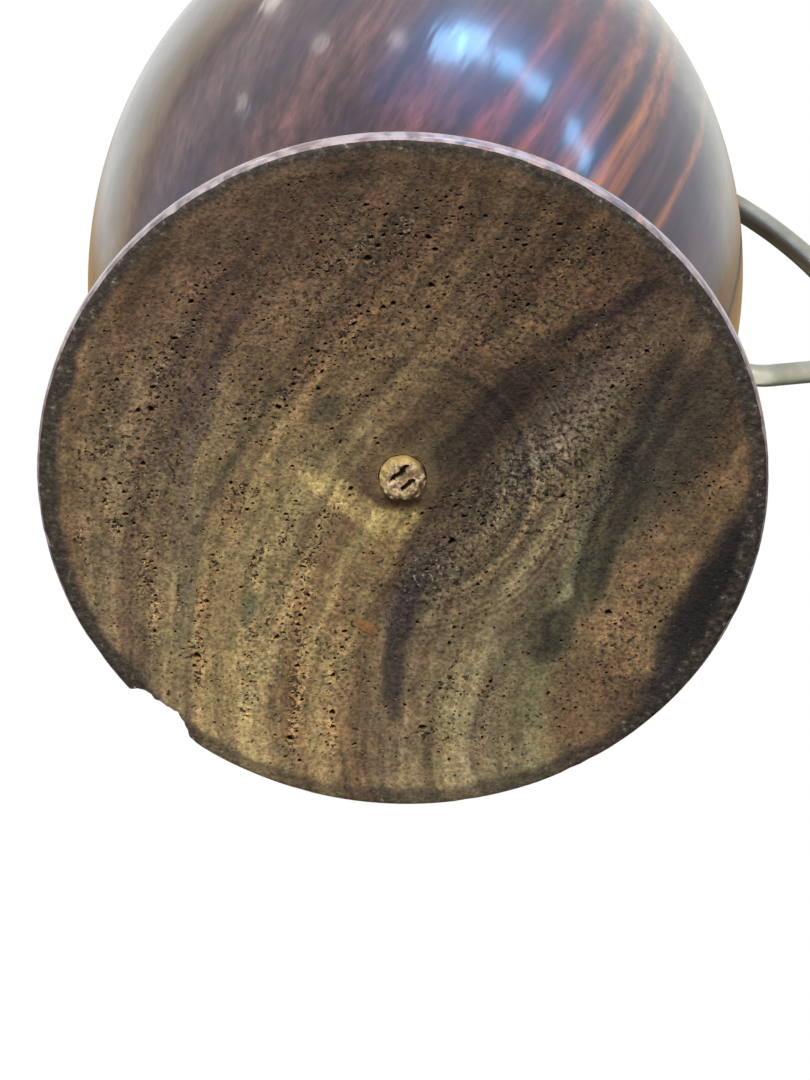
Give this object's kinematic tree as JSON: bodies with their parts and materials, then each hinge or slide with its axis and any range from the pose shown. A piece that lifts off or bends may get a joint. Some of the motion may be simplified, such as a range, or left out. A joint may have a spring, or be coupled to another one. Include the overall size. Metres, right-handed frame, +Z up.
{
  "type": "turned wooden jug",
  "caption": "Tall hollow wooden jug with a wide turned foot, an egg-shaped belly, a flared mouth with a pouring lip, and a bent metal rod handle fixed through the wall.",
  "frame": {"origin": "middle of the whole jug's outer box in X and Y, on the surface that the foot stands on; the turning axis is the vertical line at x = -0.01248 m, y = 0", "axes": "+Z up along the turning axis; +X from the turning axis towards the handle; the pouring lip points along -X"},
  "size_m": [0.1362, 0.1112, 0.209],
  "materials": {
    "body_wood": "polished outside, bare and pitted end grain underneath",
    "plug_wood": "bare, knife cut",
    "handle_metal": "satin, slightly dulled white metal",
    "fixing_metal": "dull"
  },
  "bodies": {
    "root": {"body": "body_wood", "base_plug": "plug_wood", "handle": "handle_metal", "upper_collar": "handle_metal", "lower_collar": "handle_metal", "upper_washer": "fixing_metal", "lower_washer": "fixing_metal", "upper_nut": "fixing_metal", "lower_nut": "fixing_metal"}
  },
  "joints": []
}
